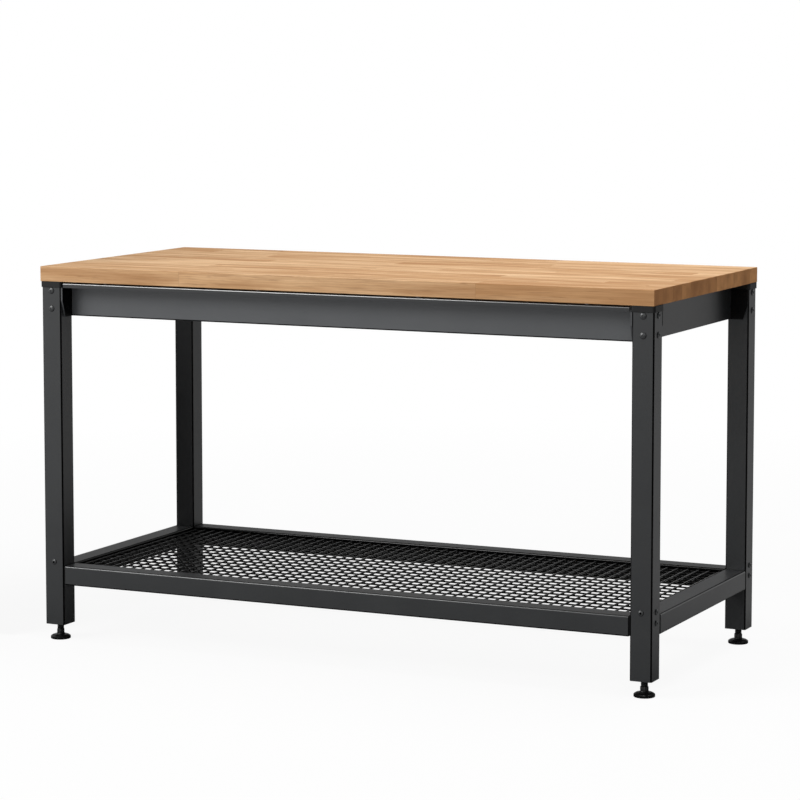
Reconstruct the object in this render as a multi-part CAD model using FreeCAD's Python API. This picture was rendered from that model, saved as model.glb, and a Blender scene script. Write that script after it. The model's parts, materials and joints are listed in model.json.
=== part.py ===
import FreeCAD, Part
import math
import os

# Workbench with a butcher-block top, a steel frame and a wire shelf.
# Millimetres. X runs along the length, the front faces -Y, Z is up and the floor is at Z = 0.

V = FreeCAD.Vector
X_AXIS = V(1, 0, 0)
Y_AXIS = V(0, 1, 0)
Z_AXIS = V(0, 0, 1)

# Overall
BENCH_HEIGHT = 884.0        # worktop surface above the floor
FRAME_LENGTH = 1521.0       # over the outer faces of the legs
FRAME_DEPTH = 677.0         # over the outer faces of the legs

# Worktop
TOP_THICKNESS = 35.0
TOP_OVERHANG_X = 1.5        # past the legs at each end
TOP_OVERHANG_Y = 4.5        # past the legs in front and behind
TOP_EDGE_ROUND = 1.2

# Legs and their caps
LEG_WIDTH = 50.8
LEG_WALL = 2.0
LEG_CORNER = 4.0            # outer corner radius
LEG_LIFT = 37.0             # leg bottom above the floor
CAP_TOP = 3.0               # cap thickness between leg and worktop
CAP_WALL = 2.3
CAP_SKIRT = 11.0            # how far the cap reaches down the leg
CAP_FIT = 0.2               # gap between cap and leg
CAP_EDGE_ROUND = 0.8

# Folded sheet
SHEET = 2.0
BEND = 1.5                  # inside radius of every bend
PLATE = 4.0                 # thickness of the end plates

# Aprons
APRON_HEIGHT = 80.0
LONG_SETBACK = 44.0         # web of the front and rear aprons behind the leg faces
SIDE_SETBACK = 42.0         # web of the end aprons behind the leg faces
LIP_HEIGHT = 11.0
SIDE_FLANGE = 24.0          # top flange of the end aprons
APRON_RETURN = 12.0         # bottom flange
LIP_TRIM = 2.5              # lip shorter than the apron at each end
APRON_PLATE_INSET = 1.0     # end plate behind the lip
APRON_PLATE_STRAIGHT = 30.0  # upright stretch of the end plate's outer edge
APRON_PLATE_TOE = 14.0      # end plate's lower corner behind the leg faces
PLATE_TO_CAP = 0.4          # between the end plates and the caps

# Shelf
RAIL_TOP = 178.0            # above the floor
RAIL_HEIGHT = 45.0
RAIL_RETURN = 12.0          # bottom flanges
RAIL_PLATE_INSET = 1.6      # end plate behind the rail's faces
RAIL_PLATE_DROP = 0.3       # end plate below the rail's top
LEDGE_WIDTH = 16.0          # strips that carry the mesh
LEDGE_TRIM = 1.0            # gap at the strips' ends
WIRE = 4.0                  # wire diameter
WIRE_SEAT = 0.05            # gap under each layer of wires
CROSS_PITCH = 25.9          # spacing of the wires that run front to back
LONG_PITCH = 33.4           # spacing of the wires that run end to end
MESH_DROP = 5.0             # top of the mesh below the rail tops
MESH_GAP = 1.5              # between wire ends and rails

# Bolts, and the tapped blocks inside the legs that take them
BOLT = 6.0
BOLT_HOLE_GAP = 0.3         # radial gap in legs and end plates
BOLT_BITE = 15.0            # length in a block
TAP_GAP = 0.05              # radial gap in a block
TAP_RUNOUT = 1.5            # tapped hole past the bolt's end
APRON_HEAD = 15.0           # head diameter
SHELF_HEAD = 13.0
HEAD_HEIGHT = 3.4
HEAD_RIM = 0.9              # straight part of the head under the dome
FLAT_HEAD = 11.0            # countersunk heads in the end plates
FLAT_HEAD_HEIGHT = 2.5
SOCKET = 5.0                # hexagon socket across flats
SOCKET_DEPTH = 1.8
BLOCK_MARGIN = 11.0         # block past its outermost bolts
BLOCK_FIT = 0.15            # gap between block and tube
HEAD_TO_CAP = 0.2           # between the top bolt heads and the caps
APRON_BOLT_PITCH = 42.0
SHELF_BOLT_RISE = 8.7       # upper shelf bolts above the rail top
SHELF_BOLT_DROP = 15.5      # lower shelf bolts below the rail top

# Worktop screws
SCREW = 5.0
SCREW_BITE = 22.0           # length in the wood
SCREW_GAP = 0.1             # radial gap in wood, apron and spacer
SCREW_HEAD = 9.5
SCREW_HEAD_HEIGHT = 3.0
SCREW_HEAD_CHAMFER = 1.0
SPACER = 14.0               # spacer ring diameter
LONG_SCREWS = 4             # along the front apron, and the rear one
SIDE_SCREWS = 2             # along each end apron
SCREW_END = 110.0           # outermost screws from the apron's end
LONG_SCREW_INSET = 22.0     # behind the leg faces

# Levelling feet
STUD = 16.0
STUD_GAP = 0.05             # radial running clearance of the stud
STUD_LENGTH = 62.0          # above the collar
STUD_TIP = 1.5              # chamfer at the upper end
COLLAR_FLATS = 17.0
COLLAR_HEIGHT = 9.2
COLLAR_GAP = 0.3            # between collar and pad
PIVOT = 12.0                # lower end of the stud, in the pad's socket
PIVOT_DEPTH = 7.0
PAD = 47.0
PAD_RIM = 6.0               # height of the upright rim
PAD_SHOULDER = 10.6         # height where the shoulder meets the neck
PAD_CROWN = 25.0            # diameter there
PAD_HEIGHT = 13.0           # top of the neck
PAD_NECK = 19.0             # diameter of the neck's flat top
PAD_FOOT_ROUND = 1.6
INSERT_HEIGHT = 24.0
INSERT_RECESS = 1.5         # insert above the leg's lower end
INSERT_FIT = 0.15           # gap between insert and tube

# Heights and places that follow
frame_top = BENCH_HEIGHT - TOP_THICKNESS - CAP_TOP
wood_bottom = BENCH_HEIGHT - TOP_THICKNESS
apron_bottom = frame_top - APRON_HEIGHT
rail_bottom = RAIL_TOP - RAIL_HEIGHT
ledge_top = RAIL_TOP - MESH_DROP - 2 * WIRE - 2 * WIRE_SEAT
leg_x = (FRAME_LENGTH - LEG_WIDTH) / 2
leg_y = (FRAME_DEPTH - LEG_WIDTH) / 2
long_span = FRAME_LENGTH - 2 * LEG_WIDTH
side_span = FRAME_DEPTH - 2 * LEG_WIDTH
bolt_hole = BOLT / 2 + BOLT_HOLE_GAP
screw_hole = SCREW / 2 + SCREW_GAP
apron_upper = frame_top - CAP_SKIRT - HEAD_TO_CAP - APRON_HEAD / 2
apron_bolts = [apron_upper, apron_upper - APRON_BOLT_PITCH]
shelf_upper = [RAIL_TOP + SHELF_BOLT_RISE]
shelf_lower = [RAIL_TOP - SHELF_BOLT_DROP]
CORNERS = {"fl": (-1, -1), "fr": (1, -1), "rl": (-1, 1), "rr": (1, 1)}


def rounded_wire(points, radii, plane):
    """Closed wire through the corner points, each rounded by its radius. plane maps (a, b) to space."""
    count = len(points)
    starts, mids, ends = [], [], []
    for i in range(count):
        corner = points[i]
        before, after = points[i - 1], points[(i + 1) % count]
        if radii[i] <= 0:
            starts.append(plane(*corner))
            mids.append(None)
            ends.append(plane(*corner))
            continue
        to_before = (before[0] - corner[0], before[1] - corner[1])
        to_after = (after[0] - corner[0], after[1] - corner[1])
        len_before = math.hypot(*to_before)
        len_after = math.hypot(*to_after)
        u = (to_before[0] / len_before, to_before[1] / len_before)
        w = (to_after[0] / len_after, to_after[1] / len_after)
        half = math.acos(u[0] * w[0] + u[1] * w[1]) / 2
        reach = radii[i] / math.tan(half)
        bisector = (u[0] + w[0], u[1] + w[1])
        scale = (radii[i] / math.sin(half) - radii[i]) / math.hypot(*bisector)
        starts.append(plane(corner[0] + u[0] * reach, corner[1] + u[1] * reach))
        mids.append(plane(corner[0] + bisector[0] * scale, corner[1] + bisector[1] * scale))
        ends.append(plane(corner[0] + w[0] * reach, corner[1] + w[1] * reach))
    edges = []
    for i in range(count):
        if mids[i] is not None:
            edges.append(Part.Arc(starts[i], mids[i], ends[i]).toShape())
        edges.append(Part.LineSegment(ends[i], starts[(i + 1) % count]).toShape())
    return Part.Wire(edges)


def square_prism(width, radius, bottom, top):
    """Upright prism on the Z axis, with a square section and rounded corners."""
    h = width / 2
    points = [(-h, -h), (h, -h), (h, h), (-h, h)]
    wire = rounded_wire(points, [radius] * 4, lambda a, b: V(a, b, bottom))
    return Part.Face(wire).extrude(V(0, 0, top - bottom))


def sheet_outline(path, side):
    """Corners and radii of a folded sheet. path is one surface, side is +1 if the sheet lies on its left."""
    count = len(path)
    directions = []
    for i in range(count - 1):
        d = (path[i + 1][0] - path[i][0], path[i + 1][1] - path[i][1])
        length = math.hypot(*d)
        directions.append((d[0] / length, d[1] / length))
    offset, near, far = [], [], []
    for i in range(count):
        a = directions[max(i - 1, 0)]
        b = directions[min(i, count - 2)]
        normal = (-(a[1] + b[1]) * side, (a[0] + b[0]) * side)
        share = SHEET / (1 + a[0] * b[0] + a[1] * b[1])
        offset.append((path[i][0] + normal[0] * share, path[i][1] + normal[1] * share))
        # Where the path turns towards the sheet, the wider radius of the bend is on the path's side.
        turn = (a[0] * b[1] - a[1] * b[0]) * side
        if turn > 0:
            near.append(BEND + SHEET)
            far.append(BEND)
        elif turn < 0:
            near.append(BEND)
            far.append(BEND + SHEET)
        else:
            near.append(0)
            far.append(0)
    return path + offset[::-1], near + far[::-1]


def along_front(u, z):
    """Section plane of the front members: u runs inwards from the front leg faces."""
    return V(0, u - FRAME_DEPTH / 2, z)


def along_right(u, z):
    """Section plane of the right-hand members: u runs inwards from the right leg faces."""
    return V(FRAME_LENGTH / 2 - u, 0, z)


def extrude_centred(face, axis, length):
    """Prism of the face, half its length to each side of the section plane."""
    prism = face.extrude(axis * length)
    prism.translate(axis * (-length / 2))
    return prism


def folded(path, side, plane, axis, length):
    """Folded sheet member, centred on the section plane."""
    points, radii = sheet_outline(path, side)
    return extrude_centred(Part.Face(rounded_wire(points, radii, plane)), axis, length)


def end_plates(points, plane, axis, span, heights):
    """Two plates that close a span between two legs, each countersunk on the leg's centre line."""
    face = Part.Face(rounded_wire(points, [0] * len(points), plane))
    hole = Part.makeCylinder(bolt_hole, PLATE)
    hole = hole.fuse(Part.makeCone(FLAT_HEAD / 2 + BOLT_HOLE_GAP, bolt_hole, FLAT_HEAD_HEIGHT))
    plates = []
    for end in (-1, 1):
        inner = end * (span / 2 - PLATE)
        outer = end * span / 2
        start = min(inner, outer)
        plate = face.extrude(axis * PLATE)
        plate.translate(axis * start)
        for z in heights:
            plate = plate.cut(placed(hole, plane(LEG_WIDTH / 2, z) + axis * inner, axis * end))
        plates.append(plate)
    return Part.makeCompound(plates)


def opposite(shape):
    """The same piece on the other side of the bench, turned half a turn about Z."""
    turned = shape.copy()
    turned.rotate(V(0, 0, 0), Z_AXIS, 180)
    return turned


def placed(shape, position, direction):
    """Copy of a piece made along +Z from the origin, standing at position along direction."""
    copy = shape.copy()
    copy.Placement = FreeCAD.Placement(position, FreeCAD.Rotation(Z_AXIS, direction))
    return copy


def hex_prism(flats, height, bottom):
    """Upright hexagonal prism on the Z axis."""
    corner = flats / math.sqrt(3)
    turns = [k * math.pi / 3 for k in range(7)]
    ring = [V(corner * math.cos(t), corner * math.sin(t), bottom) for t in turns]
    return Part.Face(Part.makePolygon(ring)).extrude(V(0, 0, height))


def make_worktop():
    length = FRAME_LENGTH + 2 * TOP_OVERHANG_X
    depth = FRAME_DEPTH + 2 * TOP_OVERHANG_Y
    slab = Part.makeBox(length, depth, TOP_THICKNESS, V(-length / 2, -depth / 2, wood_bottom))
    slab = slab.makeFillet(TOP_EDGE_ROUND, slab.Edges)
    pilot = Part.makeCylinder(screw_hole, SCREW_BITE + SCREW_GAP)
    pilots = [placed(pilot, V(x, y, wood_bottom), Z_AXIS) for x, y in screw_places()]
    return slab.cut(Part.makeCompound(pilots))


def bores(radius, depth, sx, sy, y_heights, x_heights):
    """Bores into a leg on the Z axis, from its face on side sy at y_heights and on side sx at x_heights."""
    bore = Part.makeCylinder(radius, depth)
    face = LEG_WIDTH / 2
    along_y = [placed(bore, V(0, sy * face, z), Y_AXIS * -sy) for z in y_heights]
    along_x = [placed(bore, V(sx * face, 0, z), X_AXIS * -sx) for z in x_heights]
    return along_y + along_x


def leg_bores(radius, depth, sx, sy):
    """All bores of the leg whose outer faces are on the sides sx and sy, from outside and from inside."""
    outer = bores(radius, depth, sx, sy, apron_bolts + shelf_upper, apron_bolts + shelf_upper + shelf_lower)
    inner = bores(radius, depth, -sx, -sy, apron_bolts + shelf_lower, apron_bolts + shelf_lower)
    return Part.makeCompound(outer + inner)


def make_leg(sx, sy):
    """Leg on the Z axis, drilled on each side for the bolts."""
    tube = square_prism(LEG_WIDTH, LEG_CORNER, LEG_LIFT, frame_top)
    bore = square_prism(LEG_WIDTH - 2 * LEG_WALL, LEG_CORNER - LEG_WALL, LEG_LIFT, frame_top)
    return tube.cut(bore).cut(leg_bores(bolt_hole, LEG_WALL, sx, sy))


def make_block(bottom, top, sx, sy):
    """Tapped block on the Z axis, inside the tube."""
    block = square_prism(LEG_WIDTH - 2 * LEG_WALL - 2 * BLOCK_FIT, LEG_CORNER - LEG_WALL, bottom, top)
    return block.cut(leg_bores(BOLT / 2 + TAP_GAP, LEG_WALL + BOLT_BITE + TAP_RUNOUT, sx, sy))


def make_cap():
    """Cap on the Z axis: a lid on the leg's end with a skirt around it."""
    inner = LEG_WIDTH + 2 * CAP_FIT
    corner = LEG_CORNER + CAP_FIT
    bottom = frame_top - CAP_SKIRT
    block = square_prism(inner + 2 * CAP_WALL, corner + CAP_WALL, bottom, frame_top + CAP_TOP)
    rim = [e for e in block.Edges if e.BoundBox.ZMax < bottom + CAP_EDGE_ROUND]
    block = block.makeFillet(CAP_EDGE_ROUND, rim)
    return block.cut(square_prism(inner, corner, bottom, frame_top))


def apron_plate_points(setback):
    """End plate outline: upright below the leg cap, then sloping inwards to its toe."""
    top = frame_top - CAP_SKIRT - PLATE_TO_CAP
    near = APRON_PLATE_INSET
    back = setback + SHEET
    knee = top - APRON_PLATE_STRAIGHT
    return [(near, top), (near, knee), (APRON_PLATE_TOE, apron_bottom), (back, apron_bottom),
            (back, top)]


def make_long_apron():
    """Front apron: trimmed lip, flange, web and bottom return, with holes for the worktop screws."""
    back = LONG_SETBACK + SHEET
    inside = apron_bottom + SHEET
    path = [(0, frame_top - LIP_HEIGHT), (0, frame_top), (back, frame_top), (back, inside),
            (back + APRON_RETURN, inside)]
    length = long_span - 2 * PLATE
    apron = folded(path, -1, along_front, X_AXIS, length)
    for x in (-length / 2, length / 2 - LIP_TRIM):
        corner = V(x, -FRAME_DEPTH / 2, frame_top - LIP_HEIGHT)
        apron = apron.cut(Part.makeBox(LIP_TRIM, SHEET + BEND, LIP_HEIGHT, corner))
    return drilled_flange(apron, front_screws())


def make_side_apron():
    """Right apron: a channel with its flanges turned inwards."""
    web = SIDE_SETBACK
    path = [(web + SIDE_FLANGE, frame_top), (web, frame_top), (web, apron_bottom),
            (web + APRON_RETURN, apron_bottom)]
    apron = folded(path, 1, along_right, Y_AXIS, side_span - 2 * PLATE)
    return drilled_flange(apron, right_screws())


def drilled_flange(apron, places):
    hole = Part.makeCylinder(screw_hole, SHEET)
    holes = [placed(hole, V(x, y, frame_top - SHEET), Z_AXIS) for x, y in places]
    return apron.cut(Part.makeCompound(holes))


def spread(count, reach):
    """Evenly spaced places from -reach to reach."""
    return [-reach + 2 * reach * k / (count - 1) for k in range(count)]


def front_screws():
    y = LONG_SCREW_INSET - FRAME_DEPTH / 2
    return [(x, y) for x in spread(LONG_SCREWS, long_span / 2 - SCREW_END)]


def right_screws():
    x = FRAME_LENGTH / 2 - SIDE_SETBACK - SIDE_FLANGE / 2
    return [(x, y) for y in spread(SIDE_SCREWS, side_span / 2 - SCREW_END)]


def screw_places():
    one_side = front_screws() + right_screws()
    return one_side + [(-x, -y) for x, y in one_side]


def make_rail(plane, axis, span):
    """Shelf rail: a channel open below, with both bottom edges turned inwards."""
    path = [(RAIL_RETURN, rail_bottom), (0, rail_bottom), (0, RAIL_TOP), (LEG_WIDTH, RAIL_TOP),
            (LEG_WIDTH, rail_bottom), (LEG_WIDTH - RAIL_RETURN, rail_bottom)]
    return folded(path, -1, plane, axis, span - 2 * PLATE)


def rail_plate_points():
    low, high = rail_bottom + RAIL_PLATE_INSET, RAIL_TOP - RAIL_PLATE_DROP
    near, back = RAIL_PLATE_INSET, LEG_WIDTH - RAIL_PLATE_INSET
    return [(near, low), (near, high), (back, high), (back, low)]


def make_ledges():
    """Flat strips along the rails' inner walls, under the mesh."""
    length = long_span - 2 * LEDGE_TRIM
    depth = side_span - 2 * (LEDGE_WIDTH + LEDGE_TRIM)
    bottom = ledge_top - SHEET
    front = Part.makeBox(length, LEDGE_WIDTH, SHEET, V(-length / 2, -side_span / 2, bottom))
    right = Part.makeBox(LEDGE_WIDTH, depth, SHEET, V(long_span / 2 - LEDGE_WIDTH, -depth / 2, bottom))
    return Part.makeCompound([front, right, opposite(front), opposite(right)])


def make_shelf_mesh():
    """Welded grid: long wires on the strips, and cross wires on top of them."""
    length = long_span - 2 * MESH_GAP
    depth = side_span - 2 * MESH_GAP
    long_z = ledge_top + WIRE_SEAT + WIRE / 2
    cross_z = long_z + WIRE + WIRE_SEAT
    wires = []
    long_gaps = int((depth - WIRE) // LONG_PITCH)
    for k in range(long_gaps + 1):
        y = (k - long_gaps / 2) * LONG_PITCH
        wires.append(Part.makeCylinder(WIRE / 2, length, V(-length / 2, y, long_z), X_AXIS))
    cross_gaps = int((length - WIRE) // CROSS_PITCH)
    for k in range(cross_gaps + 1):
        x = (k - cross_gaps / 2) * CROSS_PITCH
        wires.append(Part.makeCylinder(WIRE / 2, depth, V(x, -depth / 2, cross_z), Y_AXIS))
    return Part.makeCompound(wires)


def make_bolt(head_diameter):
    """Bolt along +Z with its head below the origin: domed head with a hexagon socket."""
    radius = head_diameter / 2
    dome = HEAD_HEIGHT - HEAD_RIM
    sphere = (radius * radius + dome * dome) / (2 * dome)
    rise = math.sqrt(sphere * sphere - radius * radius / 4) - (sphere - dome)
    centre, edge, rim = V(0, 0, 0), V(radius, 0, 0), V(radius, 0, -HEAD_RIM)
    shoulder, crown = V(radius / 2, 0, -HEAD_RIM - rise), V(0, 0, -HEAD_HEIGHT)
    profile = Part.Wire([
        Part.LineSegment(centre, edge).toShape(),
        Part.LineSegment(edge, rim).toShape(),
        Part.Arc(rim, shoulder, crown).toShape(),
        Part.LineSegment(crown, centre).toShape()])
    head = Part.Face(profile).revolve(centre, Z_AXIS, 360)
    head = head.cut(hex_prism(SOCKET, SOCKET_DEPTH, -HEAD_HEIGHT))
    return head.fuse(Part.makeCylinder(BOLT / 2, LEG_WALL + BOLT_BITE)).removeSplitter()


def make_flat_bolt():
    """Countersunk bolt along +Z, with its flat head flush with the origin."""
    head = Part.makeCone(FLAT_HEAD / 2, BOLT / 2, FLAT_HEAD_HEIGHT)
    shank = Part.makeCylinder(BOLT / 2, PLATE + LEG_WALL + BOLT_BITE)
    return head.fuse(shank).removeSplitter().cut(hex_prism(SOCKET, SOCKET_DEPTH, 0))


def around_legs(piece, reach, inward, y_heights, x_heights):
    """Group of a piece at every leg, reach from its centre line, pointing inward or else outward."""
    side = 1 if inward else -1
    copies = []
    for sx, sy in CORNERS.values():
        for z in y_heights:
            copies.append(placed(piece, V(sx * leg_x, sy * (leg_y + side * reach), z), Y_AXIS * (-sy * side)))
        for z in x_heights:
            copies.append(placed(piece, V(sx * (leg_x + side * reach), sy * leg_y, z), X_AXIS * (-sx * side)))
    return Part.makeCompound(copies)


def make_screw():
    """Worktop screw along +Z from the underside of the apron flange, with its head below."""
    length = SHEET + CAP_TOP + SCREW_BITE
    head = Part.makeCylinder(SCREW_HEAD / 2, SCREW_HEAD_HEIGHT, V(0, 0, -SCREW_HEAD_HEIGHT))
    rim = [e for e in head.Edges if e.BoundBox.ZMax < -SCREW_HEAD_HEIGHT / 2]
    head = head.makeChamfer(SCREW_HEAD_CHAMFER, rim)
    return head.fuse(Part.makeCylinder(SCREW / 2, length)).removeSplitter()


def make_spacer():
    ring = Part.makeCylinder(SPACER / 2, CAP_TOP)
    return ring.cut(Part.makeCylinder(screw_hole, CAP_TOP))


def make_insert():
    """Threaded insert on the Z axis, inside the lower end of the tube."""
    width = LEG_WIDTH - 2 * LEG_WALL - 2 * INSERT_FIT
    bottom = LEG_LIFT + INSERT_RECESS
    block = square_prism(width, LEG_CORNER - LEG_WALL, bottom, bottom + INSERT_HEIGHT)
    return block.cut(Part.makeCylinder(STUD / 2 + STUD_GAP, INSERT_HEIGHT, V(0, 0, bottom)))


def make_stud():
    """Stud on the Z axis: pivot in the pad, hexagonal collar, then the threaded shank."""
    collar_bottom = PAD_HEIGHT + COLLAR_GAP
    collar_top = collar_bottom + COLLAR_HEIGHT
    pivot_bottom = PAD_HEIGHT - PIVOT_DEPTH + COLLAR_GAP
    pivot = Part.makeCylinder(PIVOT / 2, collar_bottom - pivot_bottom, V(0, 0, pivot_bottom))
    shank = Part.makeCylinder(STUD / 2, STUD_LENGTH, V(0, 0, collar_top))
    tip = [e for e in shank.Edges if e.BoundBox.ZMin > collar_top + STUD_LENGTH / 2]
    shank = shank.makeChamfer(STUD_TIP, tip)
    return pivot.fuse([hex_prism(COLLAR_FLATS, COLLAR_HEIGHT, collar_bottom), shank])


def make_pad():
    """Pad on the Z axis: rounded foot, upright rim, shoulder flattening inwards, flared neck and socket."""
    rim, crown, neck, socket = PAD / 2, PAD_CROWN / 2, PAD_NECK / 2, PIVOT / 2 + STUD_GAP
    floor = PAD_HEIGHT - PIVOT_DEPTH
    run, drop = rim - crown, PAD_SHOULDER - PAD_RIM
    bow = (run * run + drop * drop) / (2 * drop)
    half = math.asin(run / bow) / 2
    shoulder = V(crown + bow * math.sin(half), 0, PAD_SHOULDER - bow + bow * math.cos(half))
    reach, rise = crown - neck, PAD_HEIGHT - PAD_SHOULDER
    flare = V(crown - reach * math.sqrt(0.5), 0, PAD_HEIGHT - rise * math.sqrt(0.5))
    slant = PAD_FOOT_ROUND * (1 - math.sqrt(0.5))
    sole, side = V(rim - PAD_FOOT_ROUND, 0, 0), V(rim, 0, PAD_FOOT_ROUND)
    edges = [
        Part.LineSegment(V(0, 0, 0), sole).toShape(),
        Part.Arc(sole, V(rim - slant, 0, slant), side).toShape(),
        Part.LineSegment(side, V(rim, 0, PAD_RIM)).toShape(),
        Part.Arc(V(rim, 0, PAD_RIM), shoulder, V(crown, 0, PAD_SHOULDER)).toShape(),
        Part.Arc(V(crown, 0, PAD_SHOULDER), flare, V(neck, 0, PAD_HEIGHT)).toShape(),
        Part.LineSegment(V(neck, 0, PAD_HEIGHT), V(socket, 0, PAD_HEIGHT)).toShape(),
        Part.LineSegment(V(socket, 0, PAD_HEIGHT), V(socket, 0, floor)).toShape(),
        Part.LineSegment(V(socket, 0, floor), V(0, 0, floor)).toShape(),
        Part.LineSegment(V(0, 0, floor), V(0, 0, 0)).toShape()]
    return Part.Face(Part.Wire(edges)).revolve(V(0, 0, 0), Z_AXIS, 360)


def at_corner(shape, corner):
    """Copy of a piece made on the Z axis, moved to one leg's centre line."""
    sx, sy = CORNERS[corner]
    copy = shape.copy()
    copy.translate(V(sx * leg_x, sy * leg_y, 0))
    return copy


nodes = {"worktop": make_worktop()}
on_each_leg = {"cap": make_cap(), "insert": make_insert(), "stud": make_stud(), "pad": make_pad()}
for corner, (sx, sy) in CORNERS.items():
    nodes["leg_" + corner] = at_corner(make_leg(sx, sy), corner)
    for name, shape in on_each_leg.items():
        nodes[name + "_" + corner] = at_corner(shape, corner)

long_pieces = {
    "apron": make_long_apron(),
    "apron_plates": end_plates(
        apron_plate_points(LONG_SETBACK), along_front, X_AXIS, long_span, apron_bolts),
    "rail": make_rail(along_front, X_AXIS, long_span),
    "rail_plates": end_plates(rail_plate_points(), along_front, X_AXIS, long_span, shelf_lower)}
for name, shape in long_pieces.items():
    nodes[name + "_front"] = shape
    nodes[name + "_rear"] = opposite(shape)

side_pieces = {
    "apron": make_side_apron(),
    "apron_plates": end_plates(
        apron_plate_points(SIDE_SETBACK), along_right, Y_AXIS, side_span, apron_bolts),
    "rail": make_rail(along_right, Y_AXIS, side_span),
    "rail_plates": end_plates(rail_plate_points(), along_right, Y_AXIS, side_span, shelf_lower)}
for name, shape in side_pieces.items():
    nodes[name + "_right"] = shape
    nodes[name + "_left"] = opposite(shape)

nodes["shelf_mesh"] = make_shelf_mesh()
nodes["shelf_ledges"] = make_ledges()

apron_bolt, shelf_bolt, flat_bolt = make_bolt(APRON_HEAD), make_bolt(SHELF_HEAD), make_flat_bolt()
outside, inside = LEG_WIDTH / 2, LEG_WIDTH / 2 + PLATE
nodes["apron_bolts_faces"] = around_legs(apron_bolt, outside, True, apron_bolts, [])
nodes["apron_bolts_ends"] = around_legs(apron_bolt, outside, True, [], apron_bolts)
nodes["shelf_bolts_faces"] = around_legs(shelf_bolt, outside, True, shelf_upper, [])
nodes["shelf_bolts_ends"] = around_legs(shelf_bolt, outside, True, [], shelf_upper + shelf_lower)
nodes["apron_plate_bolts"] = around_legs(flat_bolt, inside, False, apron_bolts, apron_bolts)
nodes["rail_plate_bolts"] = around_legs(flat_bolt, inside, False, shelf_lower, shelf_lower)

blocks = {"apron_blocks": apron_bolts, "shelf_blocks": shelf_upper + shelf_lower}
for name, heights in blocks.items():
    bottom, top = min(heights) - BLOCK_MARGIN, max(heights) + BLOCK_MARGIN
    group = [at_corner(make_block(bottom, top, *CORNERS[corner]), corner) for corner in CORNERS]
    nodes[name] = Part.makeCompound(group)

screw, spacer = make_screw(), make_spacer()
screws = [placed(screw, V(x, y, frame_top - SHEET), Z_AXIS) for x, y in screw_places()]
spacers = [placed(spacer, V(x, y, frame_top), Z_AXIS) for x, y in screw_places()]
nodes["worktop_screws"] = Part.makeCompound(screws)
nodes["worktop_spacers"] = Part.makeCompound(spacers)

os.makedirs("parts", exist_ok=True)
for name, shape in nodes.items():
    shape.exportStep("parts/" + name + ".step")
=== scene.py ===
import json
import math

import bpy
import numpy as np
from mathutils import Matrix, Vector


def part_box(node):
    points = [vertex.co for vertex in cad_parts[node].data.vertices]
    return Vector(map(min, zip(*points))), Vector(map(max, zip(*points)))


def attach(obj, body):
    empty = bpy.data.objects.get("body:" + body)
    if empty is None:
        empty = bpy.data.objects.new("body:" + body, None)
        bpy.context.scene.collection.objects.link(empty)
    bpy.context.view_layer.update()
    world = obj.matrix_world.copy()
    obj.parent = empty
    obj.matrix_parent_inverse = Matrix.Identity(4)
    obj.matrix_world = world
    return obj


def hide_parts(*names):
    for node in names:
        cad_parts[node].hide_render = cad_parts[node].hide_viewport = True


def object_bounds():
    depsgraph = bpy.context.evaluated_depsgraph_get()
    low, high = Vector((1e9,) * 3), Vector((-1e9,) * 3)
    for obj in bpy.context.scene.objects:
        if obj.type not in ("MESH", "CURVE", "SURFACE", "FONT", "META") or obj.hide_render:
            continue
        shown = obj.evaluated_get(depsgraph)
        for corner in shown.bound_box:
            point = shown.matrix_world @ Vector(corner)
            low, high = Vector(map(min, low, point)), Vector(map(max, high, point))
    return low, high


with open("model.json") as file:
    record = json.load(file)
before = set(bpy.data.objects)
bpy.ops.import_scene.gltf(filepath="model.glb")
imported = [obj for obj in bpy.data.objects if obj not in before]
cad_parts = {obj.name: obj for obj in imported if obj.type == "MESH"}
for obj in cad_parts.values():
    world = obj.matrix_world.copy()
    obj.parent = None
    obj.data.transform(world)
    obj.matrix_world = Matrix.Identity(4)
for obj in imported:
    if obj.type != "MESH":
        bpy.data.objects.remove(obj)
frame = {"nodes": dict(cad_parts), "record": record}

# Workbench: butcher-block top, charcoal powder-coated frame, welded wire shelf and levelling feet.
# Metres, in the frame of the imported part: X along the length, front at -Y, floor at Z = 0.

cad_low, cad_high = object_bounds()
scene = bpy.context.scene
CORNERS = ("fl", "fr", "rl", "rr")
X, Y, Z = 0, 1, 2

# Worktop staves
STAVE_COUNT = 12
STAVE_LENGTH = 0.74          # between two butt joints
STAVE_START = 0.001          # the first stave starts this far before the front edge
STAVE_SLACK = 0.0002         # and each is this much wider than an even share
JOINT_SPREAD = 7.0           # a stave's joints are shifted by up to this many lengths
DRAW_SEED = 3.7              # for the random numbers of each length
EDGE_START = 0.53            # where the front stave's joints lie, as a share of a length
EDGE_MIDDLE_TONE = 0.46      # tone of its middle length
EDGE_END_TONE = 0.27         # mean tone of its two end lengths
EDGE_DEEPEN = -0.19          # change from that mean to the right end
GLUE_LINE = 0.0004           # width of a glue line
GLUE_CORE = 0.3              # share of that width that is fully dark
FAR_STEP = 13.0              # the grain of the next length is taken this far on

# Growth rings
RING_SPACING = 0.0046
RING_SWING = 0.12            # spread of the rings' axis across a stave
RING_DEPTH = 0.07            # depth of the axis below the worktop
RING_RISE = 0.05             # and how far it may rise
RING_BEND = 0.045            # slow bend along the wood
LATE_POWER = 2.5             # gathers the dark late wood at the end of each ring

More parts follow.
